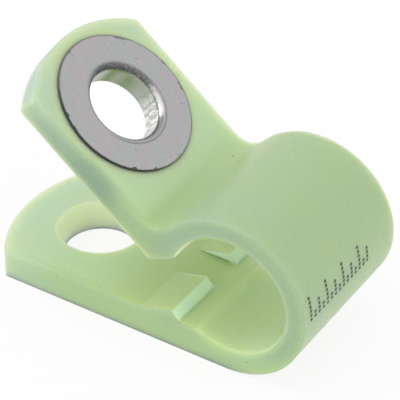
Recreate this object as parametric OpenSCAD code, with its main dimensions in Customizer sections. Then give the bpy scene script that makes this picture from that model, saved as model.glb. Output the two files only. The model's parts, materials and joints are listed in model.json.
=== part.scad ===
// Nylon loop clamp for a cable or tube, in its open, free state.
// One moulded band makes the flat foot, the loop and the sprung arm.
// A flanged metal eyelet is moulded into the arm's screw hole.
// Frame: origin on the axis of the foot's screw hole, in the face that the clamp rests on.
// +X from the foot towards the loop, +Y along the cable, +Z up.  Millimetres and degrees.

/* [Band] */
// Width of the band, along the cable
band_w = 12.7; // [11.8:0.1:14]
// Radius that rounds the corners of the foot's and the arm's tips, in plan
corner_r = 0.4; // [0.2:0.05:0.8]

/* [Loop] */
// Diameter of the loop's bore
bore_d = 9.2; // [8.6:0.1:10]
// Thickness of the loop's wall
loop_wall = 1.65; // [1.5:0.05:2]
// Distance of the loop's axis from the foot's screw hole
loop_x = 15; // [14.4:0.1:17]
// Radius that rounds the two rims of the bore
rim_round = 0.4; // [0.1:0.05:0.6]

/* [Foot] */
// Thickness of the foot
foot_t = 2.35; // [2.1:0.05:2.6]
// Distance of the foot's tip from its screw hole
foot_reach = 6.35; // [5.5:0.05:7]
// Radius of the foot's rounded tip, in plan
foot_tip_r = 10.7; // [8:0.1:16]
// Diameter of the foot's hole where it opens upwards
lead_in_d = 6.6; // [6:0.1:7]
// Height of the straight stretch of the foot's hole
straight_h = 1; // [0.8:0.1:1.6]

/* [Arm] */
// Angle of the free arm above the foot
arm_lift = 38.5; // [35:0.5:42]
// Thickness of the arm
arm_t = 1.9; // [1.7:0.05:2.1]
// Drop of the arm's top face below the loop's axis, square to that face
arm_drop = 1.45; // [1.3:0.05:1.6]
// Distance of the arm's screw hole from the loop's axis, along the arm
arm_hole_u = 14.8; // [14.4:0.1:17]
// Distance of the arm's tip from its screw hole
arm_reach = 6.4; // [6:0.05:7.5]
// Radius of the arm's rounded tip, in plan
arm_tip_r = 10.3; // [8:0.1:16]
// Fillet in the crease between the arm and the loop
crease_r = 1.8; // [0.8:0.1:2.4]

/* [Mouth] */
// Height of the two teeth above the foot
tooth_h = 0.7; // [0.4:0.05:0.8]
// Run of each tooth's gentle back ramp
tooth_ramp = 2.6; // [1.5:0.1:3]
// Run of each tooth's steep front
tooth_front = 0.65; // [0.4:0.05:0.9]
// Gap between the two teeth
tooth_gap = 3.1; // [2.5:0.1:4]
// Clearance on each side of the arm's tongue when it closes between the teeth
tongue_clear = 0.15; // [0.1:0.05:0.3]
// Distance by which the tongue's tip stops short of the bore, along the arm
tongue_setback = 0.45; // [0.2:0.05:0.6]
// Slope of the tongue's blunt tip above the foot
tongue_slope = 50; // [45:1:60]
// Start of the two notches beside the tongue, from the loop's axis along the arm
notch_u = 5.4; // [5:0.1:6]
// Angle of the notches' floor to the arm's underside
notch_slope = 62; // [55:1:70]

/* [Eyelet] */
// Diameter of the screw holes in the eyelet and the foot
screw_d = 5.6; // [5.2:0.1:5.8]
// Outer diameter of the eyelet's flange
flange_d = 10.9; // [10.2:0.1:11.2]
// Thickness of the eyelet's flange
flange_t = 0.75; // [0.6:0.05:0.9]
// Height of the flange above the arm's top face
flange_proud = 0.16; // [0.1:0.02:0.24]
// Wall of the eyelet's barrel
barrel_wall = 0.6; // [0.45:0.05:0.7]
// Radius that rounds the eyelet's mouth
mouth_round = 0.5; // [0.3:0.05:0.6]

/* [Hidden] */
$fn = 96;
bore_r = bore_d / 2;
loop_r = bore_r + loop_wall;
loop_z = loop_r;
screw_r = screw_d / 2;
flange_r = flange_d / 2;
barrel_r = screw_r + barrel_wall;
// The arm's faces and middle, as heights above the loop's axis square to the arm
arm_top = -arm_drop;
arm_under = arm_top - arm_t;
arm_mid = (arm_top + arm_under) / 2;
wall_mid = (bore_r + loop_r) / 2;
seat_depth = flange_t - flange_proud;
// Where the arm's underside meets the bore, and where the tongue's tip ends before it
bore_u = sqrt(bore_r ^ 2 - arm_under ^ 2);
tongue_u = bore_u + tongue_setback;
tongue_w = tooth_gap - 2 * tongue_clear;
// The fillet's round runs a hair into the arm's top face and the loop's outside, so that it ends on them
bite = 0.0002;
crease_v = arm_top + crease_r - bite;
crease_u = sqrt((loop_r + crease_r - bite) ^ 2 - crease_v ^ 2);
// The teeth's ridges stand under the side of the bore
ridge_x = loop_x - bore_r;
// Cutters reach this far past what they cut
over = 1;
far = 40;
// Cutters that open into the bore end this far along their slope, in the bore's empty space
into_bore = 0.7 * bore_r;

// A point of the arm's own frame (u away from the loop, v square to the arm) as [x, z]
function arm_point(u, v) = [
    loop_x - u * cos(arm_lift) + v * sin(arm_lift),
    loop_z + u * sin(arm_lift) + v * cos(arm_lift)
];

// A direction at an angle above +X
function heading(angle) = [cos(angle), sin(angle)];

// Puts what is drawn round the loop's axis, with +X along the arm, into the part's frame
module in_arm_frame() {
    translate([loop_x, 0, loop_z]) mirror([1, 0, 0]) rotate([0, -arm_lift, 0]) children();
}

// Draws an [x, z] outline as a slab between two places across the band
module across(y_from, y_to) {
    translate([0, y_to, 0]) rotate([90, 0, 0]) linear_extrude(height = y_to - y_from) children();
}

// The arm seen from the side, in its own frame.  It is drawn too deep: the mouth ends it below.
module arm_side() {
    translate([0, arm_under - over]) square([arm_hole_u + arm_reach, over + arm_t]);
    difference() {
        polygon([
            [crease_u, crease_v],
            [crease_u, arm_mid],
            [wall_mid, arm_mid],
            [crease_u, crease_v] * wall_mid / (loop_r + crease_r)
        ]);
        translate([crease_u, crease_v]) circle(crease_r);
    }
}

// The open mouth between the foot and the arm, over the whole width
module mouth_side() {
    tip = arm_point(tongue_u, arm_under);
    polygon([
        tip,
        arm_point(far, arm_under),
        [-far, foot_t],
        [loop_x, foot_t],
        [loop_x, loop_z],
        tip + heading(tongue_slope) * into_bore
    ]);
}

// The whole band seen from the side: foot, loop and arm
module band_side() {
    difference() {
        union() {
            translate([-foot_reach, 0]) square([foot_reach + loop_x, foot_t]);
            translate([loop_x, loop_z]) circle(loop_r);
            translate([loop_x, loop_z]) mirror([1, 0]) rotate(arm_lift) arm_side();
        }
        translate([loop_x, loop_z]) circle(bore_r);
        mouth_side();
    }
}

// One of the notches that lets the arm close over the foot's teeth
module notch_side() {
    start = arm_point(notch_u, arm_under);
    slope = heading(notch_slope - arm_lift);
    polygon([
        start - slope * over,
        start + slope * into_bore,
        [loop_x, loop_z],
        arm_point(0, arm_under - over / 2)
    ]);
}

// One of the foot's teeth, which keep a cable out of the closed mouth
module tooth_side() {
    polygon([
        [ridge_x - tooth_ramp, foot_t],
        [ridge_x, foot_t + tooth_h],
        [ridge_x + tooth_front, foot_t],
        [ridge_x + tooth_front, foot_t / 2],
        [ridge_x - tooth_ramp, foot_t / 2]
    ]);
}

// What lies outside a tab's rounded tip, in plan.  The tab points to -X from its hole at the origin.
module tip_waste(reach, tip_r) {
    centre_x = tip_r - reach;
    corner_y = band_w / 2 - corner_r;
    corner_x = centre_x - sqrt((tip_r - corner_r) ^ 2 - corner_y ^ 2);
    outward = [corner_x - centre_x, corner_y] / (tip_r - corner_r);
    translate([0, 0, -far / 2]) linear_extrude(height = far) {
        difference() {
            translate([-reach - over, -band_w]) square([tip_r + over, 2 * band_w]);
            translate([centre_x, 0]) circle(tip_r);
        }
        for (side = [-1, 1]) mirror([0, side < 0 ? 1 : 0]) translate([corner_x, corner_y]) difference() {
            polygon([[0, 0], [0, over], [0, over] + outward * over, outward * over]);
            circle(corner_r);
        }
    }
}

// What rounds the edge between a hole's wall, at x = 0, and the face round it, at y = 0
module rounding_waste(r) {
    difference() {
        translate([-r, -r]) square([2 * r, 2 * r]);
        translate([r, -r]) circle(r);
    }
}

// The ring of waste that rounds one rim of the bore, with the rim's face at z = 0
module rim_waste() {
    rotate_extrude() translate([bore_r, 0]) rounding_waste(rim_round);
}

// The foot's screw hole: straight below, wider towards the arm
module foot_hole() {
    translate([0, 0, -over]) cylinder(h = straight_h + over, d = screw_d);
    translate([0, 0, straight_h]) cylinder(h = foot_t - straight_h, d1 = screw_d, d2 = lead_in_d);
    translate([0, 0, foot_t]) cylinder(h = over, d = lead_in_d);
}

// The stepped seat of the eyelet, down from the arm's top face at z = 0
module eyelet_seat() {
    translate([0, 0, -seat_depth]) cylinder(h = seat_depth + over, r = flange_r);
    translate([0, 0, -arm_t - over]) cylinder(h = arm_t + over, r = barrel_r);
}

module clamp_strap() {
    half = band_w / 2;
    color([0.67, 0.78, 0.62]) difference() {
        union() {
            across(-half, half) band_side();
            for (side = [-1, 1]) mirror([0, side < 0 ? 1 : 0, 0]) across(tooth_gap / 2, half) tooth_side();
        }
        for (side = [-1, 1]) mirror([0, side < 0 ? 1 : 0, 0]) {
            across(tongue_w / 2, half + over) notch_side();
            translate([loop_x, half, loop_z]) rotate([-90, 0, 0]) rim_waste();
        }
        tip_waste(foot_reach, foot_tip_r);
        foot_hole();
        in_arm_frame() translate([arm_hole_u, 0, arm_top]) {
            mirror([1, 0, 0]) tip_waste(arm_reach, arm_tip_r);
            eyelet_seat();
        }
    }
}

// Half of the eyelet's section, with x as the radius and y above the arm's top face
module eyelet_section() {
    difference() {
        union() {
            translate([screw_r, -arm_t]) square([barrel_wall, arm_t + flange_proud]);
            translate([screw_r, -seat_depth]) square([flange_r - screw_r, flange_t]);
        }
        translate([screw_r, flange_proud]) rounding_waste(mouth_round);
    }
}

module eyelet() {
    color([0.7, 0.69, 0.7]) in_arm_frame() translate([arm_hole_u, 0, arm_top])
        rotate_extrude() eyelet_section();
}

clamp_strap();
eyelet();
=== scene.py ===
"""Finishes for a moulded nylon loop clamp with a metal eyelet, and a plain studio to show it in.

The clamp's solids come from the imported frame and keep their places.  This file gives them their
finishes, prints a row of plain ink ticks on the loop, and adds the floor, the lamps and the camera.
"""
import json
import math

import bpy
import numpy as np
from bpy.props import FloatProperty, FloatVectorProperty, IntProperty, PointerProperty
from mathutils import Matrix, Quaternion, Vector


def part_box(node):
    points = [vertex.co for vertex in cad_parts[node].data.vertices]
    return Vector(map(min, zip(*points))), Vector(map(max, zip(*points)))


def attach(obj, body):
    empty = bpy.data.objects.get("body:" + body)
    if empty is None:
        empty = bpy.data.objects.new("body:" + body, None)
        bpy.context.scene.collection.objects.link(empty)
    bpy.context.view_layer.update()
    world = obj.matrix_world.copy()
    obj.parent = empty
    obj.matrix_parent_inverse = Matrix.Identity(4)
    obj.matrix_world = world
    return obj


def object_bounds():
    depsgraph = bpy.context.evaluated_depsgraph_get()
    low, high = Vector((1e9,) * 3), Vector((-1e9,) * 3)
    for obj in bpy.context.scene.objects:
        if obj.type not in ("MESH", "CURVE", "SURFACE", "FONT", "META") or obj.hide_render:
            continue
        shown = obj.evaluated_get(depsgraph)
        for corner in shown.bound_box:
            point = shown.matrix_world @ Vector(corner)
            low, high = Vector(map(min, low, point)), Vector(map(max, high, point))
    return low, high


bl_info = {
    "name": "Loop Clamp Finishes",
    "version": (1, 0, 0),
    "blender": (4, 5, 0),
    "location": "View3D > Sidebar > Loop Clamp",
    "description": "Finishes, ink ticks and a plain studio for a nylon loop clamp",
    "category": "Object",
}

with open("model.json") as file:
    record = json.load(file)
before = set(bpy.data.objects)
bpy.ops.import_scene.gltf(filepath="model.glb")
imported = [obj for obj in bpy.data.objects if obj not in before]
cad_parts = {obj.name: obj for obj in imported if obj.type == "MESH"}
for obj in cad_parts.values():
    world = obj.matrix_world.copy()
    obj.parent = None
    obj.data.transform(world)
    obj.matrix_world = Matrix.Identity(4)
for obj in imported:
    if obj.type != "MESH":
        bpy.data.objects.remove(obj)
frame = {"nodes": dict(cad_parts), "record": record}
CAD_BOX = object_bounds()

BODY = "root"
STRAP, EYELET = "clamp_strap", "eyelet"
MM = 0.001
FLOAT, VECTOR = "NodeSocketFloat", "NodeSocketVector"
# Spacing of the nodes in the editor
COLUMN_WIDTH, ROW_HEIGHT = 220, 180

# Places on the band that its shades follow, in millimetres: the foot's top face, the upper radius of
# its hole, the teeth's inner sides and the run of their fronts, and the crease from the loop's axis
FOOT_TOP, HOLE_TOP_R = 2.35, 3.3
TOOTH_INNER, TOOTH_FRONT = 1.55, 0.65
CREASE_BACK, CREASE_UP = 6.2, 3.5

# Ink dots in a long, a middle and a short tick, and how many of them lie below the row's middle line
LONG_TICK, MIDDLE_TICK, SHORT_TICK = 6, 4, 2
DOTS_BELOW = 2
# A dot's sides, and its foot, shoulder and crown: share of its radius, and millimetres above the loop
DOT_SIDES = 14
DOT_RINGS = ((1.0, -0.010), (1.0, 0.004), (0.8, 0.008))

# The stage.  The floor lies just under the foot.  A lamp has a place, as azimuth and elevation in
# degrees, and a width and a height.  Lengths are shares of the clamp's diagonal.
FLOOR_GAP = 0.02 * MM
FLOOR_SIZE, LAMP_DISTANCE = 40, 9
KEY_PLACE, KEY_SIZE = (288, 46), (2.6, 6)
FILL_PLACE, FILL_SIZE = (75, 35), (6, 6)


def mount(name):
    """The place, the axis and the sizes (in metres) of a mount that the record names."""
    for entry in frame["record"]["mounts"]:
        if entry["name"] == name:
            return Vector(entry["pos_m"]), Vector(entry["axis"]), entry["dims"]
    raise ValueError(f"the record has no mount named {name}")


def direction(azimuth, elevation):
    """The way from the clamp to a place at an azimuth, 0 in front and growing to +X, and an elevation."""
    level = math.cos(elevation)
    return Vector((math.sin(azimuth) * level, -math.cos(azimuth) * level, math.sin(elevation)))


def loop_axis():
    """The loop's axis as (x, z), its bore's radius and its outer radius, all in metres."""
    place, _, dims = mount("cable_bore")
    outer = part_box(STRAP)[1].x - place.x
    return place.x, place.z, dims["r_mm"] * MM, outer


def eyelet_place():
    """The eyelet's own centre and turn.  Its +X is across the band, its +Y runs to the arm's tip."""
    seat, axis, _ = mount("eyelet_hole")
    return seat, axis.to_track_quat("Z", "Y").to_euler()


def flange_radius():
    """Half of the eyelet's width across the band, in metres."""
    low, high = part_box(EYELET)
    return (high.y - low.y) / 2


# ---------------------------------------------------------------------------------------------
# Sizes and colours


class StrapLook(bpy.types.PropertyGroup):
    """The moulded nylon band"""

    loop_colour: FloatVectorProperty(
        name="Loop", description="Colour of the loop's outside, where the wall is thick", subtype="COLOR",
        size=3, min=0, max=1, default=(0.40, 0.54, 0.325),
    )
    arm_colour: FloatVectorProperty(
        name="Arm", description="Colour of the arm's top face", subtype="COLOR",
        size=3, min=0, max=1, default=(0.52, 0.68, 0.43),
    )
    # The next four colours are painted light and shade on the flat sides: a dull painted shade, painted
    # light down by the floor, a darker painted shade on the arm's sides, and painted light along the arm's
    # +Y edge
    side_painted_shade: FloatVectorProperty(
        name="Sides", description="Colour of the band's two flat sides", subtype="COLOR",
        size=3, min=0, max=1, default=(0.37, 0.51, 0.355),
    )
    low_side_painted_light: FloatVectorProperty(
        name="Foot's sides", description="Colour of the flat sides down by the floor", subtype="COLOR",
        size=3, min=0, max=1, default=(0.46, 0.63, 0.355),
    )
    arm_side_painted_shade: FloatVectorProperty(
        name="Arm's sides", description="Colour of the arm's flat sides", subtype="COLOR",
        size=3, min=0, max=1, default=(0.30, 0.43, 0.33),
    )
    far_edge_painted_light: FloatVectorProperty(
        name="Arm's far edge", description="Colour along the arm's edge on the +Y side", subtype="COLOR",
        size=3, min=0, max=1, default=(0.53, 0.68, 0.50),
    )
    # Painted light on the foot's thin end, which light from beneath shines through
    foot_tip_painted_light: FloatVectorProperty(
        name="Foot's end", description="Colour of the foot's end", subtype="COLOR",
        size=3, min=0, max=1, default=(0.56, 0.70, 0.51),
    )
    # Painted light at the arm's highest end, paler and bluer
    arm_tip_painted_light: FloatVectorProperty(
        name="Arm's end", description="Colour of the arm's end", subtype="COLOR",
        size=3, min=0, max=1, default=(0.49, 0.63, 0.495),
    )
    # Painted shade on the end wall of the arm's tip, darker and bluer than its top face
    arm_end_painted_shade: FloatVectorProperty(
        name="Arm's end wall", description="Colour of the end wall of the arm's tip", subtype="COLOR",
        size=3, min=0, max=1, default=(0.43, 0.58, 0.48),
    )
    # Painted light inside the bore, standing for light that comes through its wall: brightest at the top,
    # less on its floor
    bore_painted_light: FloatVectorProperty(
        name="Bore", description="Colour of the bore's upper part, lit through the wall", subtype="COLOR",
        size=3, min=0, max=1, default=(0.86, 0.97, 0.74),
    )
    bore_floor_painted_light: FloatVectorProperty(
        name="Bore's floor", description="Colour of the bore's lower part", subtype="COLOR",
        size=3, min=0, max=1, default=(0.57, 0.70, 0.435),
    )
    # Painted light: a glow in the nylon round the eyelet
    eyelet_painted_glow: FloatVectorProperty(
        name="Round the eyelet", description="Colour of the arm's top face close to the eyelet",
        subtype="COLOR", size=3, min=0, max=1, default=(0.56, 0.71, 0.41),
    )
    # Painted shade in the crease between the arm and the loop
    crease_painted_shade: FloatVectorProperty(
        name="Crease", description="Colour of the crease between the arm and the loop", subtype="COLOR",
        size=3, min=0, max=1, default=(0.42, 0.59, 0.31),
    )
    # Painted shade, olive, on the faces that look into the mouth, where the arm's shadow falls
    mouth_painted_shade: FloatVectorProperty(
        name="Mouth", description="Colour of the faces that look into the mouth", subtype="COLOR",
        size=3, min=0, max=1, default=(0.48, 0.62, 0.315),
    )
    # Painted light on the teeth's steep fronts and inner sides, which lie in shade
    tooth_painted_light: FloatVectorProperty(
        name="Teeth's fronts", description="Colour of the teeth's steep fronts", subtype="COLOR",
        size=3, min=0, max=1, default=(0.66, 0.86, 0.72),
    )
    # Painted light on the wall of the foot's hole, standing for light that comes through the thin nylon
    # from beneath
    hole_painted_light: FloatVectorProperty(
        name="Hole's wall", description="Colour of the wall of the foot's hole", subtype="COLOR",
        size=3, min=0, max=1, default=(0.82, 0.93, 0.70),
    )
    scatter_depth: FloatProperty(
        name="Scatter depth", description="How far light travels inside the nylon",
        subtype="DISTANCE", unit="LENGTH", min=0.0001, max=0.01, default=0.002,
    )
    roughness: FloatProperty(
        name="Roughness", description="Roughness of the moulded skin", subtype="FACTOR",
        min=0, max=1, default=0.32,
    )
    edge_radius: FloatProperty(
        name="Edge radius", description="Radius that softens the moulded edges",
        subtype="DISTANCE", unit="LENGTH", min=0, max=0.001, default=0.0003,
    )


class EyeletLook(bpy.types.PropertyGroup):
    """The pressed metal eyelet"""

    flange_colour: FloatVectorProperty(
        name="Flange", description="Colour of the flange's dull plating", subtype="COLOR",
        size=3, min=0, max=1, default=(0.50, 0.50, 0.505),
    )
    barrel_colour: FloatVectorProperty(
        name="Barrel", description="Colour of the drawn barrel's brighter wall", subtype="COLOR",
        size=3, min=0, max=1, default=(0.66, 0.67, 0.64),
    )
    # Painted reflection: the dark, greenish colour of the barrel's wall on its side towards the tip's +Y
    # corner
    dark_painted_reflection_colour: FloatVectorProperty(
        name="Barrel's dull side", description="Colour of the barrel's wall on its dull side",
        subtype="COLOR", size=3, min=0, max=1, default=(0.30, 0.34, 0.26),
    )
    # Dark colour of the dirt in nicks and scratches, and of the painted gap shadow and the painted dark
    # reflection
    dirt_and_shade_colour: FloatVectorProperty(
        name="Grime", description="Colour in the nicks, under the lip and round the rim", subtype="COLOR",
        size=3, min=0, max=1, default=(0.07, 0.07, 0.068),
    )
    roughness: FloatProperty(
        name="Roughness", description="Roughness of the flange", subtype="FACTOR",
        min=0, max=1, default=0.42,
    )
    barrel_roughness: FloatProperty(
        name="Barrel roughness", description="Roughness of the barrel and the lip", subtype="FACTOR",
        min=0, max=1, default=0.2,
    )
    rim_width: FloatProperty(
        name="Rim", description="Width of the dark line round the flange", subtype="DISTANCE",
        unit="LENGTH", min=0, max=0.001, default=0.00007,
    )
    edge_radius: FloatProperty(
        name="Edge radius", description="Radius that softens the flange's edge",
        subtype="DISTANCE", unit="LENGTH", min=0, max=0.001, default=0.00008,
    )


class InkLook(bpy.types.PropertyGroup):
    """The row of printed ticks on the loop"""

    ink_colour: FloatVectorProperty(
        name="Ink", description="Colour of the ticks", subtype="COLOR",
        size=3, min=0, max=1, default=(0.045, 0.05, 0.045),
    )
    ticks: IntProperty(
        name="Ticks", description="Number of ticks in the row", min=1, max=40, default=15,
    )
    pitch: FloatProperty(
        name="Pitch", description="Distance from tick to tick", subtype="DISTANCE",
        unit="LENGTH", min=0.0002, max=0.002, default=0.00056,
    )
    dot: FloatProperty(
        name="Dot", description="Diameter of each printed dot", subtype="DISTANCE",
        unit="LENGTH", min=0.00005, max=0.001, default=0.00026,
    )
    dot_pitch: FloatProperty(
        name="Dot pitch", description="Distance from dot to dot in a tick", subtype="DISTANCE",
        unit="LENGTH", min=0.0001, max=0.001, default=0.00034,
    )
    rise: FloatProperty(
        name="Rise", description="Angle of the row's middle above the level of the loop's axis",
        subtype="ANGLE", unit="ROTATION", default=math.radians(9),
    )
    shift: FloatProperty(
        name="Shift", description="Distance of the row's middle from the band's middle",
        subtype="DISTANCE", unit="LENGTH", min=-0.01, max=0.01, default=-0.0015,
    )


class StudioLook(bpy.types.PropertyGroup):
    """Floor, lamps and camera"""

    floor_colour: FloatVectorProperty(
        name="Floor", description="Colour of the floor", subtype="COLOR",
        size=3, min=0, max=1, default=(0.92, 0.92, 0.92),
    )
    floor_glow: FloatProperty(
        name="Floor whiteness", description="Share of plain white in what is seen of the floor",
        subtype="FACTOR", min=0, max=1, default=0.86,
    )
    sky_level: FloatProperty(
        name="Sky", description="Strength of the even light from all round", min=0, max=2, default=0.92,
    )
    key_level: FloatProperty(
        name="Key lamp", description="Light that the key lamp adds on a white sheet facing it",
        min=0, max=2, default=0.16,
    )
    fill_level: FloatProperty(
        name="Fill lamp", description="Light that the fill lamp adds on a white sheet facing it",
        min=0, max=2, default=0.08,
    )
    azimuth: FloatProperty(
        name="Azimuth", description="Camera's turn round the clamp, from the front towards the loop",
        subtype="ANGLE", unit="ROTATION", default=math.radians(32.3),
    )
    elevation: FloatProperty(
        name="Elevation", description="Camera's height above the floor, as an angle",
        subtype="ANGLE", unit="ROTATION", default=math.radians(36.2),
    )
    roll: FloatProperty(
        name="Roll", description="Camera's turn about its own line of sight",
        subtype="ANGLE", unit="ROTATION", default=math.radians(0.36),
    )
    aim: FloatVectorProperty(
        name="Aim", description="Place that the camera looks at", subtype="TRANSLATION",
        unit="LENGTH", size=3, default=(0.00883, 0, 0.00828),
    )
    distance: FloatProperty(
        name="Distance", description="Camera's distance from what it looks at",
        subtype="DISTANCE", unit="LENGTH", min=0.01, max=2, default=0.1431,
    )
    lens: FloatProperty(
        name="Lens", description="Focal length", subtype="DISTANCE_CAMERA", unit="CAMERA",
        min=10, max=400, default=180,
    )


# ---------------------------------------------------------------------------------------------
# Node helpers


def put(tree, kind, **settings):
    """Adds a node of the given kind and sets its own options."""
    node = tree.nodes.new(kind)
    for name, value in settings.items():
        setattr(node, name, value)
    return node


def fill(node, **values):
    """Sets a node's unlinked inputs by their names, with underscores for spaces."""
    for name, value in values.items():
        node.inputs[name.replace("_", " ")].default_value = value
    return node


def arrange(tree):
    """Lays a tree's nodes out in columns, each node to the left of all the nodes that it feeds."""
    column = {node.name: 0 for node in tree.nodes}
    settled = False
    while not settled:
        settled = True
        for link in tree.links:
            needed = column[link.to_node.name] + 1
            if column[link.from_node.name] < needed:
                column[link.from_node.name] = needed
                settled = False
    filled = [0] * (max(column.values()) + 1)
    for node in tree.nodes:
        here = column[node.name]
        node.location = (-here * COLUMN_WIDTH, -filled[here] * ROW_HEIGHT)
        filled[here] += 1


def math_node(tree, operation, first, second=None, clamp=False):
    """A Math node whose two inputs are sockets or plain numbers.  Returns its output."""
    node = put(tree, "ShaderNodeMath", operation=operation, use_clamp=clamp)
    for slot, value in enumerate((first, second)):
        if value is None:
            continue
        if isinstance(value, bpy.types.NodeSocket):
            tree.links.new(value, node.inputs[slot])
        else:
            node.inputs[slot].default_value = value
    return node.outputs[0]


def times(tree, *factors):
    """The product of two or more sockets or numbers."""
    product = factors[0]
    for factor in factors[1:]:
        product = math_node(tree, "MULTIPLY", product, factor)
    return product


def larger(tree, *values):
    """The largest of two or more sockets or numbers."""
    largest = values[0]
    for value in values[1:]:
        largest = math_node(tree, "MAXIMUM", largest, value)
    return largest


def distance_from(tree, first, second):
    """The length of a plane vector whose two parts are sockets.  Returns its output."""
    squares = math_node(tree, "ADD", times(tree, first, first), times(tree, second, second))
    return math_node(tree, "SQRT", squares)


def mix_colours(tree, factor, first, second, blend="MIX"):
    """A Mix node between two colours, each a socket or an (r, g, b).  Returns its colour."""
    node = put(tree, "ShaderNodeMix", data_type="RGBA", blend_type=blend)
    for socket, value in ((node.inputs[0], factor), (node.inputs[6], first), (node.inputs[7], second)):
        if isinstance(value, bpy.types.NodeSocket):
            tree.links.new(value, socket)
        elif isinstance(value, (int, float)):
            socket.default_value = value
        else:
            socket.default_value = (*value, 1)
    return node.outputs[2]


def spread(tree, value, low, high, to_low=0.0, to_high=1.0, smooth=True):
    """A Map Range node from low..high to to_low..to_high.  Returns its result."""
    node = put(tree, "ShaderNodeMapRange", interpolation_type="SMOOTHSTEP" if smooth else "LINEAR")
    tree.links.new(value, node.inputs["Value"])
    fill(node, From_Min=low, From_Max=high, To_Min=to_low, To_Max=to_high)
    return node.outputs["Result"]


def noise(tree, vector, scale, detail, roughness):
    """A Noise Texture with that many features, a number or a socket, in each unit of its vector."""
    node = put(tree, "ShaderNodeTexNoise")
    tree.links.new(vector, node.inputs["Vector"])
    if isinstance(scale, bpy.types.NodeSocket):
        tree.links.new(scale, node.inputs["Scale"])
    else:
        fill(node, Scale=scale)
    fill(node, Detail=detail, Roughness=roughness)
    return node.outputs[0]


def stretched(tree, vector, scale, turn=(0, 0, 0)):
    """A vector turned and scaled by a Mapping node.  Returns the vector."""
    node = put(tree, "ShaderNodeMapping")
    fill(node, Rotation=turn, Scale=scale)
    tree.links.new(vector, node.inputs["Vector"])
    return node.outputs[0]


def bump(tree, height, distance, strength, normal=None):
    """A Bump node over an earlier normal.  Returns its normal."""
    node = put(tree, "ShaderNodeBump")
    tree.links.new(height, node.inputs["Height"])
    fill(node, Distance=distance, Strength=strength)
    if normal is not None:
        tree.links.new(normal, node.inputs["Normal"])
    return node.outputs[0]


def millimetres(tree, centre=(0, 0, 0), turn=(0, 0, 0)):
    """The surface's own place in millimetres, from a centre and turned.  Returns the vector."""
    place = put(tree, "ShaderNodeTexCoord")
    mapping = put(tree, "ShaderNodeMapping", vector_type="TEXTURE")
    fill(mapping, Location=centre, Rotation=turn, Scale=(MM, MM, MM))
    tree.links.new(place.outputs["Object"], mapping.inputs["Vector"])
    return mapping.outputs[0]


def parts_of(tree, vector):
    """The three parts of a vector, as sockets."""
    node = put(tree, "ShaderNodeSeparateXYZ")
    tree.links.new(vector, node.inputs[0])
    return tuple(node.outputs)


def new_material(name):
    """A material with an empty tree but its Principled shader.  Returns material, tree, shader."""
    material = bpy.data.materials.new(name)
    material.use_nodes = True
    tree = material.node_tree
    tree.nodes.clear()
    shader = put(tree, "ShaderNodeBsdfPrincipled")
    end = put(tree, "ShaderNodeOutputMaterial")
    tree.links.new(shader.outputs[0], end.inputs["Surface"])
    return material, tree, shader


# ---------------------------------------------------------------------------------------------
# Shared effects


def shared_group(name, inputs, outputs, build):
    """The shader node group of that name, which build(tree, given, out) fills on its first use."""
    if name in bpy.data.node_groups:
        return bpy.data.node_groups[name]
    tree = bpy.data.node_groups.new(name, "ShaderNodeTree")
    for label, kind, default in inputs:
        socket = tree.interface.new_socket(name=label, in_out="INPUT", socket_type=kind)
        if default is not None:
            socket.default_value = default
    for label, kind in outputs:
        tree.interface.new_socket(name=label, in_out="OUTPUT", socket_type=kind)
    given, out = put(tree, "NodeGroupInput"), put(tree, "NodeGroupOutput")
    build(tree, given.outputs, out.inputs)
    arrange(tree)
    return tree


def place_group(tree, group, vector=None, **values):
    """Puts a node group into a material and sets its inputs by name.  Returns its outputs."""
    node = put(tree, "ShaderNodeGroup", node_tree=group)
    fill(node, **values)
    if vector is not None:
        tree.links.new(vector, node.inputs["Vector"])
    return node.outputs


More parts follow.
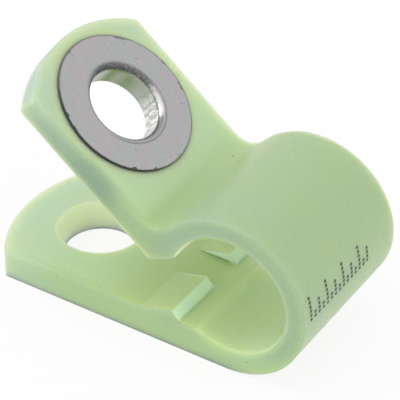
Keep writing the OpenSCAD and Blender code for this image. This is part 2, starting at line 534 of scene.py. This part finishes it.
def handling_marks():
    """Group: sparse dark specks and short fine scratches, as everyday handling leaves them.

    A speck is the round core of a few random Voronoi cells.  A scratch is the thin middle line of
    a stretched noise, kept only in a few patches.
    """
    smallest_speck, core_gain = 0.4, 2.5
    scratch_turn, scratch_stretch, scratch_reach = (0.5, 0.35, 0.8), (1.0, 0.09, 0.6), 0.004
    patch_scale, patch_level, patch_gain = 0.35, 0.62, 0.3

    def build(tree, given, out):
        vector = given["Vector"]
        cells = put(tree, "ShaderNodeTexVoronoi")
        tree.links.new(vector, cells.inputs["Vector"])
        tree.links.new(math_node(tree, "DIVIDE", 1.0, given["Speck Spacing"]), cells.inputs["Scale"])
        pick = put(tree, "ShaderNodeSeparateColor")
        tree.links.new(cells.outputs["Color"], pick.inputs[0])
        chosen = math_node(tree, "LESS_THAN", pick.outputs[0], given["Speck Share"])
        reach = math_node(tree, "DIVIDE", given["Speck Radius"], given["Speck Spacing"])
        size = times(tree, reach, math_node(tree, "ADD", pick.outputs[1], smallest_speck))
        outwards = math_node(tree, "DIVIDE", cells.outputs["Distance"], size)
        core = math_node(tree, "SUBTRACT", 1.0, outwards, clamp=True)
        core = math_node(tree, "MULTIPLY", core, core_gain, clamp=True)
        tree.links.new(times(tree, core, chosen), out["Specks"])

        long_way = stretched(tree, vector, scratch_stretch, scratch_turn)
        fine = noise(tree, long_way, math_node(tree, "DIVIDE", 1.0, given["Scratch Spacing"]), 3.0, 0.55)
        off_line = math_node(tree, "ABSOLUTE", math_node(tree, "SUBTRACT", fine, 0.5))
        line = spread(tree, off_line, scratch_reach, 0.0)
        patches = noise(tree, vector, patch_scale, 1.0, 0.5)
        level = math_node(tree, "SUBTRACT", patch_level, times(tree, given["Scratch Share"], patch_gain))
        kept = math_node(tree, "GREATER_THAN", patches, level)
        tree.links.new(times(tree, line, kept), out["Scratches"])

    return shared_group(
        "Handling Marks",
        [("Vector", VECTOR, None), ("Speck Spacing", FLOAT, 1.0), ("Speck Radius", FLOAT, 0.06),
         ("Speck Share", FLOAT, 0.1), ("Scratch Spacing", FLOAT, 1.0), ("Scratch Share", FLOAT, 0.1)],
        [("Specks", FLOAT), ("Scratches", FLOAT)],
        build,
    )


def skin_grain():
    """Group: the slow cloudiness and the fine unevenness of a formed skin, both as 0 to 1."""

    def build(tree, given, out):
        for kind, detail in (("Cloud", 2.0), ("Grain", 3.0)):
            scale = math_node(tree, "DIVIDE", 1.0, given[kind + " Size"])
            texture = noise(tree, given["Vector"], scale, detail, 0.55)
            tree.links.new(spread(tree, texture, 0.3, 0.7), out[kind])

    return shared_group(
        "Skin Grain",
        [("Vector", VECTOR, None), ("Cloud Size", FLOAT, 6.0), ("Grain Size", FLOAT, 0.2)],
        [("Cloud", FLOAT), ("Grain", FLOAT)],
        build,
    )


def soft_edges():
    """Group: normals rounded over the edges, and a mask of where those edges are.

    The mask is one minus the cosine between the rounded and the true normal, scaled up.
    """
    edge_gain = 4.0

    def build(tree, given, out):
        rounded = put(tree, "ShaderNodeBevel", samples=8)
        tree.links.new(given["Radius"], rounded.inputs["Radius"])
        true = put(tree, "ShaderNodeNewGeometry")
        agree = put(tree, "ShaderNodeVectorMath", operation="DOT_PRODUCT")
        tree.links.new(rounded.outputs[0], agree.inputs[0])
        tree.links.new(true.outputs["Normal"], agree.inputs[1])
        turned = math_node(tree, "SUBTRACT", 1.0, agree.outputs["Value"])
        tree.links.new(math_node(tree, "MULTIPLY", turned, edge_gain, clamp=True), out["Edge"])
        tree.links.new(rounded.outputs[0], out["Normal"])

    return shared_group(
        "Soft Edges",
        [("Radius", FLOAT, 0.0001)],
        [("Normal", VECTOR), ("Edge", FLOAT)],
        build,
    )


# ---------------------------------------------------------------------------------------------
# Finishes


def nylon_shades(tree, look, place):
    """The nylon's colour at a place in millimetres: painted light and shade, each zone laid over the ones
    before it.

    A zone's mask is 0 at its first limit and 1 at its second, with a smooth step between.  All
    limits are in millimetres, in the clamp's frame or from the line or face that is named.
    Returns the colour.
    """
    axis_x, axis_z, bore_r, _ = (size / MM for size in loop_axis())
    low, high = (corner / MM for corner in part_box(STRAP))
    tooth_x = axis_x - bore_r
    along, far, up = parts_of(tree, place)
    across = math_node(tree, "ABSOLUTE", far)
    sideways, tipwards, height = parts_of(tree, millimetres(tree, *eyelet_place()))

    def from_line(x, z):
        """The distance from a line that runs across the band at x and z."""
        off_x, off_z = math_node(tree, "SUBTRACT", along, x), math_node(tree, "SUBTRACT", up, z)
        return distance_from(tree, off_x, off_z)

    def zone(value, none, full):
        """A mask by one measure, 0 at the first limit and 1 at the second."""
        return spread(tree, value, none, full)

    def overlap(*masks):
        """Where all the masks are."""
        return times(tree, *masks)

    from_axis = from_line(axis_x, axis_z)
    from_root = from_line(axis_x - bore_r, axis_z - bore_r / 2)
    from_crease = from_line(axis_x - CREASE_BACK, axis_z + CREASE_UP)
    from_hole = distance_from(tree, along, far)
    from_hole_axis = distance_from(tree, sideways, tipwards)
    from_flange = math_node(tree, "SUBTRACT", from_hole_axis, flange_radius() / MM)

    between_sides = zone(across, high.y, high.y - 0.25)
    low_down = zone(up, 4.0, 2.6)
    on_sides = zone(across, high.y - 0.9, high.y - 0.02)
    foot_tip = overlap(zone(along, 2.0, low.x), low_down)
    crease = overlap(zone(from_crease, 1.3, 0.2), zone(far, 6.0, -2.0), between_sides)
    arm_tip = zone(up, 12.5, high.z - 1.0)
    round_eyelet = overlap(zone(from_flange, 1.2, 0.0), zone(height, -1.5, -0.3))
    arm_end = overlap(zone(height, 1.05, 0.6), zone(tipwards, 4.2, 4.8))
    in_mouth = overlap(zone(from_root, 8.5, 2.5), between_sides)
    past_teeth = overlap(zone(along, tooth_x + 0.2, tooth_x + 1.0), low_down, between_sides, 0.5)
    in_bore = zone(from_axis, bore_r + 0.12, bore_r + 0.02)
    in_hole = overlap(zone(from_hole, HOLE_TOP_R + 0.2, HOLE_TOP_R - 0.1), low_down)
    tooth_fronts = overlap(
        zone(along, tooth_x - 0.1, tooth_x + 0.1),
        zone(along, tooth_x + TOOTH_FRONT + 0.1, tooth_x + TOOTH_FRONT - 0.05),
        zone(across, TOOTH_INNER - 0.2, TOOTH_INNER),
        low_down,
        between_sides,
    )
    tooth_flanks = overlap(
        zone(across, TOOTH_INNER + 0.09, TOOTH_INNER + 0.01),
        zone(across, TOOTH_INNER - 0.1, TOOTH_INNER - 0.01),
        zone(up, FOOT_TOP + 0.03, FOOT_TOP + 0.15),
        low_down,
    )

    # The two flat sides carry painted shade: dull in general, with painted light down by the floor, a
    # darker painted shade along the arm, and a painted lighter band high on the arm's +Y side
    side = mix_colours(tree, zone(up, 4.0, 0.5), look.side_painted_shade, look.low_side_painted_light)
    arm_side = overlap(zone(along, 9.5, 5.0), zone(up, 4.0, 7.0))
    side = mix_colours(tree, arm_side, side, look.arm_side_painted_shade)
    crease_side = overlap(zone(from_crease, 4.5, 2.0), zone(along, 10.0, 8.0))
    side = mix_colours(tree, crease_side, side, look.loop_colour)
    far_edge = overlap(zone(far, 0.0, 3.0), zone(up, 6.0, 9.0), zone(along, 11.0, 8.5))
    side = mix_colours(tree, far_edge, side, look.far_edge_painted_light)

    # The bore's painted light, lighter towards its top and its far end, as light comes through the wall
    bore = mix_colours(tree, zone(up, 3.0, 8.0), look.bore_floor_painted_light, look.bore_painted_light)
    bore = mix_colours(tree, zone(far, 1.0, 5.0), bore, look.bore_painted_light)

    # A base shade from the loop's to the arm's, then each zone's painted light or painted shade over it
    colour = mix_colours(tree, zone(along, 11.5, 8.0), look.loop_colour, look.arm_colour)
    for mask, shade in (
        (on_sides, side),
        (foot_tip, look.foot_tip_painted_light),
        (crease, look.crease_painted_shade),
        (arm_tip, look.arm_tip_painted_light),
        (round_eyelet, look.eyelet_painted_glow),
        (arm_end, look.arm_end_painted_shade),
        (in_mouth, look.mouth_painted_shade),
        (past_teeth, bore),
        (tooth_flanks, look.tooth_painted_light),
        (in_bore, bore),
        (tooth_fronts, look.tooth_painted_light),
        (in_hole, look.hole_painted_light),
    ):
        colour = mix_colours(tree, mask, colour, shade)
    return colour


def nylon(look):
    """Translucent green nylon.

    Each zone of the band has its own shade of green, painted light and painted shade that stand for its
    thickness, the light that comes through it and the shadows on it, and one fades softly into the next.
    Its edges get a painted darker shade.  A few specks lie on the skin.
    """
    warm_tint, edge_painted_shade_tint, speck_colour = (1.03, 1.0, 0.92), (0.75, 0.77, 0.76), (0.06, 0.08, 0.05)
    material, tree, shader = new_material("moulded_nylon")
    place = millimetres(tree)
    grain = place_group(tree, skin_grain(), place, Cloud_Size=5.0, Grain_Size=0.35)
    marks = place_group(tree, handling_marks(), place,
                        Speck_Spacing=0.6, Speck_Radius=0.09, Speck_Share=0.018)
    edges = place_group(tree, soft_edges(), Radius=look.edge_radius)

    colour = nylon_shades(tree, look, place)
    warm = mix_colours(tree, 1.0, colour, warm_tint, blend="MULTIPLY")
    colour = mix_colours(tree, grain["Cloud"], colour, warm)
    # Painted shade along the moulded edges
    edge_painted_shade = mix_colours(tree, 1.0, colour, edge_painted_shade_tint, blend="MULTIPLY")
    colour = mix_colours(tree, edges["Edge"], colour, edge_painted_shade)
    colour = mix_colours(tree, times(tree, marks["Specks"], 0.75), colour, speck_colour)
    tree.links.new(colour, shader.inputs["Base Color"])

    smoothest, roughest = look.roughness - 0.05, look.roughness + 0.07
    rough = spread(tree, grain["Grain"], 0.0, 1.0, smoothest, roughest, smooth=False)
    tree.links.new(rough, shader.inputs["Roughness"])

    # The fine grain and the slow waves of the skin, each as a height and how strongly it shows
    normal = bump(tree, grain["Grain"], 0.004 * MM, 0.6, edges["Normal"])
    normal = bump(tree, grain["Cloud"], 0.05 * MM, 0.5, normal)
    tree.links.new(normal, shader.inputs["Normal"])

    fill(shader, IOR=1.5, Specular_IOR_Level=0.33, Subsurface_Weight=1.0,
         Subsurface_Scale=look.scatter_depth, Subsurface_Radius=(1.0, 0.9, 0.45))
    arrange(tree)
    return material


def eyelet_metal(look):
    """Plated metal: a dull mottled flange, a brighter barrel with drawn streaks, dirt, and painted light.

    Dirt lies in sparse nicks and scratches.  A thin broken line round the flange is partly dirt and
    partly a painted gap shadow.  The lip's side towards the arm's tip carries an uneven painted dark
    reflection, and the barrel and the lip carry painted highlights.  All distances are in millimetres.
    """
    material, tree, shader = new_material("eyelet_metal")
    place = millimetres(tree, *eyelet_place())
    sideways, tipwards, _ = parts_of(tree, place)
    radius = distance_from(tree, sideways, tipwards)
    hole_r = mount("eyelet_hole")[2]["r_mm"]
    rim_width = look.rim_width / MM

    grain = place_group(tree, skin_grain(), place, Cloud_Size=0.9, Grain_Size=0.07)
    patches = place_group(tree, skin_grain(), place, Cloud_Size=1.1, Grain_Size=0.16)
    marks = place_group(tree, handling_marks(), place, Speck_Spacing=0.5, Speck_Radius=0.06,
                        Speck_Share=0.28, Scratch_Spacing=0.5, Scratch_Share=0.5)
    edges = place_group(tree, soft_edges(), Radius=look.edge_radius)

    def towards(x, y):
        """How far a place round the hole lies towards a direction in the flange's plane."""
        lean = math_node(tree, "ADD", times(tree, sideways, x), times(tree, tipwards, y))
        return math_node(tree, "DIVIDE", lean, radius)

    def outside_hole(none, full):
        """A mask by the distance outside the hole's wall, 0 at the first and 1 at the second."""
        return spread(tree, radius, hole_r + none, hole_r + full)

    def tinted(tint):
        return mix_colours(tree, 1.0, look.flange_colour, tint, blend="MULTIPLY")

    # The flange, faintly mottled between a warm and a cool tint
    colour = mix_colours(tree, grain["Cloud"], tinted((1.05, 0.96, 1.02)), tinted((0.96, 1.03, 0.97)))
    colour = mix_colours(tree, times(tree, grain["Grain"], 0.14), colour, look.dirt_and_shade_colour)

    # The barrel's wall: a painted dark, greenish reflection towards the tip's +Y corner, and a bright
    # painted glint with streaks towards the loop's
    wall = outside_hole(0.08, 0.02)
    dull = spread(tree, towards(0.75, 0.66), 0.1, 0.75)
    painted_glint = spread(tree, towards(0.8, -0.6), 0.7, 0.97)
    streaks = noise(tree, stretched(tree, place, (1, 1, 0.4)), 3.2, 3.0, 0.6)
    streaks = times(tree, spread(tree, streaks, 0.42, 0.62), spread(tree, painted_glint, 0.0, 1.0, 0.15, 0.5), wall)
    walls = mix_colours(tree, painted_glint, look.barrel_colour, (0.95, 0.96, 0.92))
    walls = mix_colours(tree, streaks, walls, look.dirt_and_shade_colour)
    walls = mix_colours(tree, times(tree, dull, 0.8), walls, look.dark_painted_reflection_colour)

    # The lip: a painted grey reflection, darker than the flange, with one painted highlight on the +Y side,
    # and a dark line outside it towards the loop
    barrel = outside_hole(0.45, 0.2)
    painted_lip_highlight = spread(tree, towards(0.9, -0.44), 0.86, 0.97)
    lip_painted_reflection = mix_colours(tree, painted_lip_highlight, tinted((0.62, 0.62, 0.63)), (0.95, 0.95, 0.95))
    colour = mix_colours(tree, barrel, colour, mix_colours(tree, wall, lip_painted_reflection, walls))
    lip_dark_line = times(tree, outside_hole(0.4, 0.5), outside_hole(0.62, 0.52),
                 spread(tree, towards(0.0, -1.0), 0.1, 0.7, 0.0, 0.45))
    colour = mix_colours(tree, lip_dark_line, colour, look.dirt_and_shade_colour)

    # A painted dark reflection on the lip towards the tip's +Y corner, uneven
    lip = times(tree, outside_hole(0.62, 0.3), outside_hole(0.0, 0.06),
                spread(tree, towards(1.0, 1.0), 0.1, 1.2),
                spread(tree, patches["Grain"], 0.0, 1.0, 0.45, 0.8))
    # A dark line round the flange, partly dirt and partly a painted gap shadow, wider in a few patches and
    # heavier towards the band's -Y side
    thick = spread(tree, patches["Cloud"], 0.72, 1.0, rim_width, 3.2 * rim_width)
    inward = math_node(tree, "SUBTRACT", flange_radius() / MM, radius)
    rim = times(tree, math_node(tree, "LESS_THAN", inward, thick),
                spread(tree, towards(-0.95, -0.3), 0.35, 0.75, 0.6, 1.0), 0.85)
    nick, scratch = times(tree, marks["Specks"], 0.6), times(tree, marks["Scratches"], 0.25)
    # Dirt in the nicks and scratches, with the painted gap shadow round the flange and the painted dark
    # reflection on the lip
    dirt_and_painted_shade = larger(tree, lip, rim, nick, scratch)
    tree.links.new(mix_colours(tree, dirt_and_painted_shade, colour, look.dirt_and_shade_colour), shader.inputs["Base Color"])

    smoothest, roughest = look.roughness - 0.08, look.roughness + 0.08
    rough = spread(tree, grain["Grain"], 0.0, 1.0, smoothest, roughest, smooth=False)
    smoother = times(tree, barrel, look.roughness - look.barrel_roughness)
    rough = math_node(tree, "SUBTRACT", rough, smoother)
    rough = math_node(tree, "ADD", rough, times(tree, dirt_and_painted_shade, 0.25), clamp=True)
    tree.links.new(rough, shader.inputs["Roughness"])

    # The plating's grain, the nicks sunk into it, and a raised roughness under the painted dark reflection
    # on the lip
    normal = bump(tree, grain["Grain"], 0.006 * MM, 0.6, edges["Normal"])
    normal = bump(tree, marks["Specks"], -0.02 * MM, 0.8, normal)
    normal = bump(tree, times(tree, lip, patches["Grain"]), 0.03 * MM, 0.8, normal)
    tree.links.new(normal, shader.inputs["Normal"])
    fill(shader, Metallic=1.0)
    arrange(tree)
    return material


def printing_ink(look):
    """Thin dark ink, patchy where it has not taken on the nylon."""
    thin_colour = (0.16, 0.21, 0.13)
    material, tree, shader = new_material("printing_ink")
    grain = place_group(tree, skin_grain(), millimetres(tree), Cloud_Size=0.5, Grain_Size=0.08)
    colour = mix_colours(tree, times(tree, grain["Grain"], 0.35), look.ink_colour, thin_colour)
    tree.links.new(colour, shader.inputs["Base Color"])
    rough = spread(tree, grain["Cloud"], 0.0, 1.0, 0.45, 0.7, smooth=False)
    tree.links.new(rough, shader.inputs["Roughness"])
    tree.links.new(bump(tree, grain["Grain"], 0.004 * MM, 0.5), shader.inputs["Normal"])
    arrange(tree)
    return material


# ---------------------------------------------------------------------------------------------
# Pieces


def wear(node_name, material):
    """Gives a CAD node's object one finish on all its slots."""
    mesh = frame["nodes"][node_name].data
    if not mesh.materials:
        mesh.materials.append(material)
    for slot in range(len(mesh.materials)):
        mesh.materials[slot] = material


def make_piece(name, corners, faces, material):
    """A mesh object at the origin from an array of corners and one of faces, riding on the body."""
    mesh = bpy.data.meshes.new(name)
    mesh.from_pydata(corners.tolist(), [], faces.tolist())
    mesh.polygons.foreach_set("use_smooth", np.ones(len(mesh.polygons), bool))
    mesh.materials.append(material)
    mesh.update()
    piece = bpy.data.objects.new(name, mesh)
    bpy.context.scene.collection.objects.link(piece)
    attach(piece, BODY)
    return piece


def ink_dots(centres, dot_r, loop_r, axis_x, axis_z, rise):
    """Flat round buttons of ink that lie on a cylinder.

    A dot's outline is a circle in the unrolled surface, (arc length, y), so each of its points is
    at angle rise + arc / loop_r round the loop's axis.  Each button has a foot just inside the
    cylinder, a shoulder and a crown just outside it, and one point in the middle of each end.
    Returns corners and triangles.
    """
    sides = DOT_SIDES
    turn = np.arange(sides) * (2 * np.pi / sides)
    rings = np.array(DOT_RINGS) * (1, MM)
    ring_arc = rings[:, 0, None] * np.cos(turn) * dot_r
    ring_y = rings[:, 0, None] * np.sin(turn) * dot_r
    ring_h = np.repeat(rings[:, 1, None], sides, axis=1)
    arc = np.concatenate([ring_arc.ravel(), [0.0, 0.0]])
    along = np.concatenate([ring_y.ravel(), [0.0, 0.0]])
    height = np.concatenate([ring_h.ravel(), [rings[0, 1], rings[-1, 1]]])
    angle = rise + (centres[:, 0, None] + arc) / loop_r
    reach = loop_r + np.broadcast_to(height, angle.shape)
    across = np.broadcast_to(centres[:, 1, None] + along, angle.shape)
    corners = np.stack([axis_x + reach * np.cos(angle), across, axis_z + reach * np.sin(angle)], axis=-1)

    here = np.arange(sides)
    ahead = (here + 1) % sides
    bands = []
    for low in range(len(rings) - 1):
        a, b = low * sides + here, low * sides + ahead
        bands += [np.stack([a, b, b + sides], 1), np.stack([a, b + sides, a + sides], 1)]
    top = (len(rings) - 1) * sides
    bottom_point, top_point = len(rings) * sides, len(rings) * sides + 1
    bands.append(np.stack([ahead, here, np.full(sides, bottom_point)], 1))
    bands.append(np.stack([top + here, top + ahead, np.full(sides, top_point)], 1))
    button = np.concatenate(bands)[:, ::-1]
    count = corners.shape[1]
    faces = (button[None] + np.arange(len(centres))[:, None, None] * count).reshape(-1, 3)
    return corners.reshape(-1, 3), faces


# ---------------------------------------------------------------------------------------------
# Operators


class LOOPCLAMP_OT_finish_strap(bpy.types.Operator):
    """Give the moulded band its nylon"""

    bl_idname = "loopclamp.finish_strap"
    bl_label = "Finish the Band"

    def execute(self, context):
        wear(STRAP, nylon(context.scene.loopclamp_strap))
        return {"FINISHED"}


class LOOPCLAMP_OT_finish_eyelet(bpy.types.Operator):
    """Give the eyelet its metal"""

    bl_idname = "loopclamp.finish_eyelet"
    bl_label = "Finish the Eyelet"

    def execute(self, context):
        wear(EYELET, eyelet_metal(context.scene.loopclamp_eyelet))
        return {"FINISHED"}


class LOOPCLAMP_OT_print_ticks(bpy.types.Operator):
    """Print the row of plain ticks on the loop"""

    bl_idname = "loopclamp.print_ticks"
    bl_label = "Print the Ticks"

    def execute(self, context):
        look = context.scene.loopclamp_ink
        axis_x, axis_z, _, loop_r = loop_axis()
        row = np.arange(look.ticks)
        middle = (look.ticks - 1) / 2
        # Every fourth tick is long, the ones halfway between those are middling, and the rest short
        dots = np.where(row % 4 == 0, LONG_TICK, np.where(row % 4 == 2, MIDDLE_TICK, SHORT_TICK))
        level = np.arange(dots.max())
        shown = level[None, :] < dots[:, None]
        arc = np.broadcast_to((level - DOTS_BELOW) * look.dot_pitch, shown.shape)
        along = np.broadcast_to((look.shift + (row - middle) * look.pitch)[:, None], shown.shape)
        centres = np.stack([arc[shown], along[shown]], axis=1)
        corners, faces = ink_dots(centres, look.dot / 2, loop_r, axis_x, axis_z, look.rise)
        make_piece("ink_ticks", corners, faces, printing_ink(look))
        return {"FINISHED"}


class LOOPCLAMP_OT_studio(bpy.types.Operator):
    """Set the floor, the lamps and the camera"""

    bl_idname = "loopclamp.studio"
    bl_label = "Set the Studio"

    def execute(self, context):
        scene = context.scene
        look = scene.loopclamp_studio
        low, high = CAD_BOX
        centre = (low + high) / 2
        span = (high - low).length
        set_sky(scene, look.sky_level)
        set_floor(scene, look, low.z - FLOOR_GAP, span * FLOOR_SIZE)
        target = Vector((centre.x, centre.y, low.z))
        for name, place, shares, level in (
            ("key_lamp", KEY_PLACE, KEY_SIZE, look.key_level),
            ("fill_lamp", FILL_PLACE, FILL_SIZE, look.fill_level),
        ):
            size = [span * share for share in shares]
            set_lamp(scene, name, target, place, span * LAMP_DISTANCE, size, level)
        set_camera(scene, look)
        scene.view_settings.view_transform = "Standard"
        return {"FINISHED"}


def set_sky(scene, level):
    """Even light from all round.  What the camera sees of it directly is white."""
    world = bpy.data.worlds.new("studio_sky")
    world.use_nodes = True
    tree = world.node_tree
    tree.nodes.clear()
    light = put(tree, "ShaderNodeBackground")
    fill(light, Color=(1, 1, 1, 1), Strength=level)
    seen = put(tree, "ShaderNodeBackground")
    fill(seen, Color=(1, 1, 1, 1), Strength=1.0)
    path = put(tree, "ShaderNodeLightPath")
    mix = put(tree, "ShaderNodeMixShader")
    end = put(tree, "ShaderNodeOutputWorld")
    tree.links.new(path.outputs["Is Camera Ray"], mix.inputs[0])
    tree.links.new(light.outputs[0], mix.inputs[1])
    tree.links.new(seen.outputs[0], mix.inputs[2])
    tree.links.new(mix.outputs[0], end.inputs["Surface"])
    arrange(tree)
    scene.world = world


def set_floor(scene, look, height, size):
    """A plain floor.  What is seen of it is partly plain white, so that its shadows stay faint."""
    material, tree, shader = new_material("studio_floor")
    fill(shader, Base_Color=(*look.floor_colour, 1), Roughness=0.8, Specular_IOR_Level=0.0)
    white = put(tree, "ShaderNodeEmission")
    path = put(tree, "ShaderNodeLightPath")
    seen = larger(tree, path.outputs["Is Camera Ray"], path.outputs["Is Glossy Ray"])
    mix = put(tree, "ShaderNodeMixShader")
    tree.links.new(times(tree, seen, look.floor_glow), mix.inputs[0])
    tree.links.new(shader.outputs[0], mix.inputs[1])
    tree.links.new(white.outputs[0], mix.inputs[2])
    tree.links.new(mix.outputs[0], tree.nodes["Material Output"].inputs["Surface"])
    arrange(tree)
    half = size / 2
    corners = [(-half, -half, height), (half, -half, height), (half, half, height), (-half, half, height)]
    mesh = bpy.data.meshes.new("studio_floor")
    mesh.from_pydata(corners, [], [(0, 1, 2, 3)])
    mesh.materials.append(material)
    floor = bpy.data.objects.new("studio_floor", mesh)
    scene.collection.objects.link(floor)


def set_lamp(scene, name, target, place, distance, size, level):
    """A soft lamp of a given width and height, aimed at the target.

    Its place is an azimuth and an elevation in degrees.  Its power is pi squared times the distance
    squared times the level, so that a white sheet at the target that faces it gains that level.
    """
    back = direction(*(math.radians(angle) for angle in place))
    lamp = bpy.data.lights.new(name, "AREA")
    lamp.shape = "RECTANGLE"
    lamp.size, lamp.size_y = size
    lamp.energy = math.pi ** 2 * distance ** 2 * level
    shown = bpy.data.objects.new(name, lamp)
    shown.location = target + back * distance
    shown.rotation_euler = (-back).to_track_quat("-Z", "Y").to_euler()
    scene.collection.objects.link(shown)


def set_camera(scene, look):
    """The camera, looking at its aim from its azimuth, elevation, roll and distance."""
    back = direction(look.azimuth, look.elevation)
    data = bpy.data.cameras.new("studio_camera")
    data.lens = look.lens
    data.clip_start, data.clip_end = 0.001, 10
    camera = bpy.data.objects.new("studio_camera", data)
    camera.rotation_mode = "QUATERNION"
    camera.location = Vector(look.aim) + back * look.distance
    level = (-back).to_track_quat("-Z", "Y")
    camera.rotation_quaternion = level @ Quaternion((0, 0, 1), look.roll)
    scene.collection.objects.link(camera)
    scene.camera = camera


class LOOPCLAMP_PT_panel(bpy.types.Panel):
    """Every step of the clamp's finish, with its sizes and colours"""

    bl_label = "Loop Clamp"
    bl_idname = "LOOPCLAMP_PT_panel"
    bl_space_type = "VIEW_3D"
    bl_region_type = "UI"
    bl_category = "Loop Clamp"

    def draw(self, context):
        for operator, group in STEPS:
            box = self.layout.box()
            settings = getattr(context.scene, group)
            for name in settings.__annotations__:
                box.prop(settings, name)
            box.operator(operator)


STEPS = (
    ("loopclamp.finish_strap", "loopclamp_strap"),
    ("loopclamp.finish_eyelet", "loopclamp_eyelet"),
    ("loopclamp.print_ticks", "loopclamp_ink"),
    ("loopclamp.studio", "loopclamp_studio"),
)
SETTINGS = (
    ("loopclamp_strap", StrapLook),
    ("loopclamp_eyelet", EyeletLook),
    ("loopclamp_ink", InkLook),
    ("loopclamp_studio", StudioLook),
)
CLASSES = (
    StrapLook, EyeletLook, InkLook, StudioLook,
    LOOPCLAMP_OT_finish_strap, LOOPCLAMP_OT_finish_eyelet, LOOPCLAMP_OT_print_ticks, LOOPCLAMP_OT_studio,
    LOOPCLAMP_PT_panel,
)


def register():
    for cls in CLASSES:
        bpy.utils.register_class(cls)
    for name, group in SETTINGS:
        setattr(bpy.types.Scene, name, PointerProperty(type=group))


def unregister():
    for name, _ in reversed(SETTINGS):
        delattr(bpy.types.Scene, name)
    for cls in reversed(CLASSES):
        bpy.utils.unregister_class(cls)


def main():
    register()
    bpy.ops.loopclamp.studio()
    bpy.ops.loopclamp.finish_strap()
    bpy.ops.loopclamp.finish_eyelet()
    bpy.ops.loopclamp.print_ticks()


if __name__ == "__main__":
    main()
